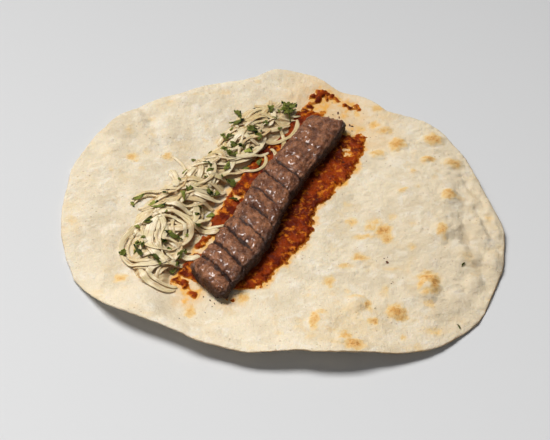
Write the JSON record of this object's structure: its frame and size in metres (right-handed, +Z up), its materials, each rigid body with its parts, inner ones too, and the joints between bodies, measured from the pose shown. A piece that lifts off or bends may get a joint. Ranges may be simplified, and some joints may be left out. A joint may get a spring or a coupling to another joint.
{
  "type": "open kebab wrap",
  "caption": "Large stretched flatbread laid open, with a band of pepper paste, one long pressed meat kebab on it, and a heap of sliced onion with parsley beside it.",
  "frame": {"origin": "on the table under the middle of the flatbread", "axes": "+X to the diner's right along the bread's longest extent, +Y away from the diner, +Z up out of the table, the shortest extent"},
  "size_m": [0.4057, 0.3722, 0.0217],
  "materials": {
    "bread": "soft baked flatbread, matte, cream with golden toasted spots",
    "paste": "oily red pepper paste, lumpy and moist",
    "meat": "grilled minced meat, moist with small highlights",
    "onion": "raw sliced onion, moist and slightly translucent, with chopped parsley"
  },
  "bodies": {
    "root": {"flatbread": "bread", "pepper_paste": "paste", "kebab": "meat", "onion_heap": "onion"}
  },
  "joints": []
}
